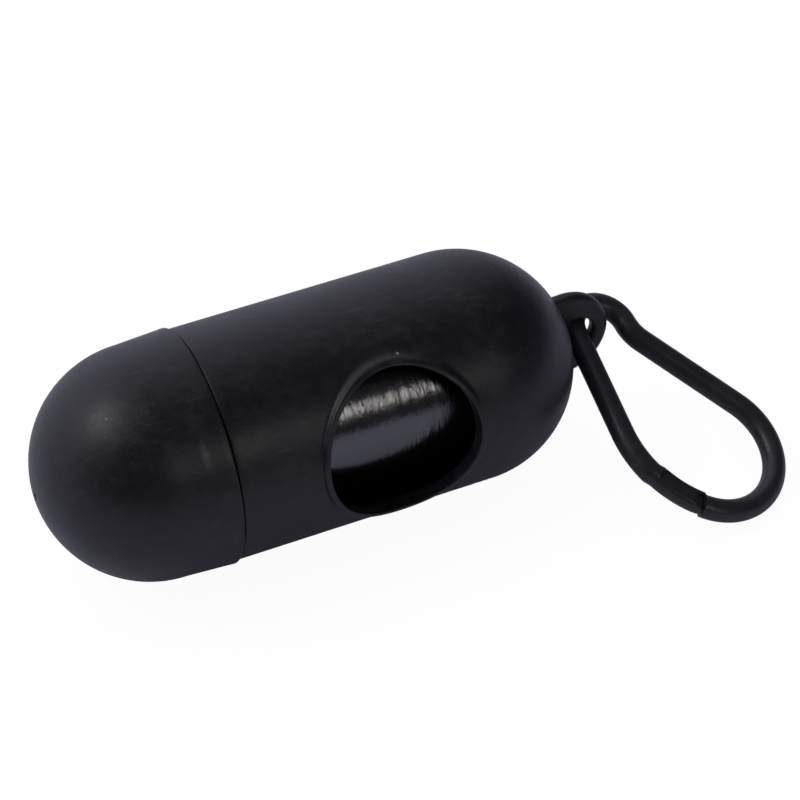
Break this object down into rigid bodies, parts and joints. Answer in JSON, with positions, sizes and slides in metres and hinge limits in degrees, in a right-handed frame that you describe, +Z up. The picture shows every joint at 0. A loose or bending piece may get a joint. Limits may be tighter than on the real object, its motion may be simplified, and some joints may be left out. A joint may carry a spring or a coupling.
{
  "type": "dog waste bag dispenser",
  "caption": "Capsule-shaped dispenser for a roll of waste bags, with a screw-on domed cap, a round window the bags are pulled through and a moulded spring clip hung from an eyelet.",
  "frame": {"origin": "the table under the middle between the centres of the two domes, on the line that the capsule lies on", "axes": "+X along the capsule towards the closed dome and its eyelet, +Z up from the table, and the window looks towards -Y"},
  "size_m": [0.1179, 0.0539, 0.0378],
  "materials": {
    "capsule": "near-black moulded plastic with a soft satin sheen",
    "clip": "near-black moulded plastic, a little glossier than the capsule",
    "bag_film": "glossy black thin film, wound tight",
    "core_board": "plain wound board"
  },
  "bodies": {
    "barrel": {"barrel": "capsule"},
    "cap": {"cap": "capsule"},
    "roll": {"roll_core": "core_board", "bag_roll": "bag_film"},
    "clip": {"clip_hook": "clip"},
    "gate": {"clip_gate": "clip"}
  },
  "joints": [
    {"name": "cap_slide", "type": "slide", "parent": "barrel", "child": "cap", "axis": [-1, 0, 0], "range_m": [0, 0.03]},
    {"name": "roll_spin", "type": "hinge", "parent": "barrel", "child": "roll", "pos_m": [0, 0, 0.0185], "axis": [1, 0, 0], "continuous": true},
    {"name": "clip_swing", "type": "hinge", "parent": "barrel", "child": "clip", "pos_m": [0.04755, 0, 0.0189], "axis": [0, -1, 0], "range_deg": [-40, 95]},
    {"name": "gate_flex", "type": "hinge", "parent": "clip", "child": "gate", "pos_m": [0.04545, -0.00752, 0.0163], "axis": [-0.2114, 0.3661, -0.9062], "range_deg": [0, 16], "stiffness_Nm_per_rad": 0.4}
  ]
}
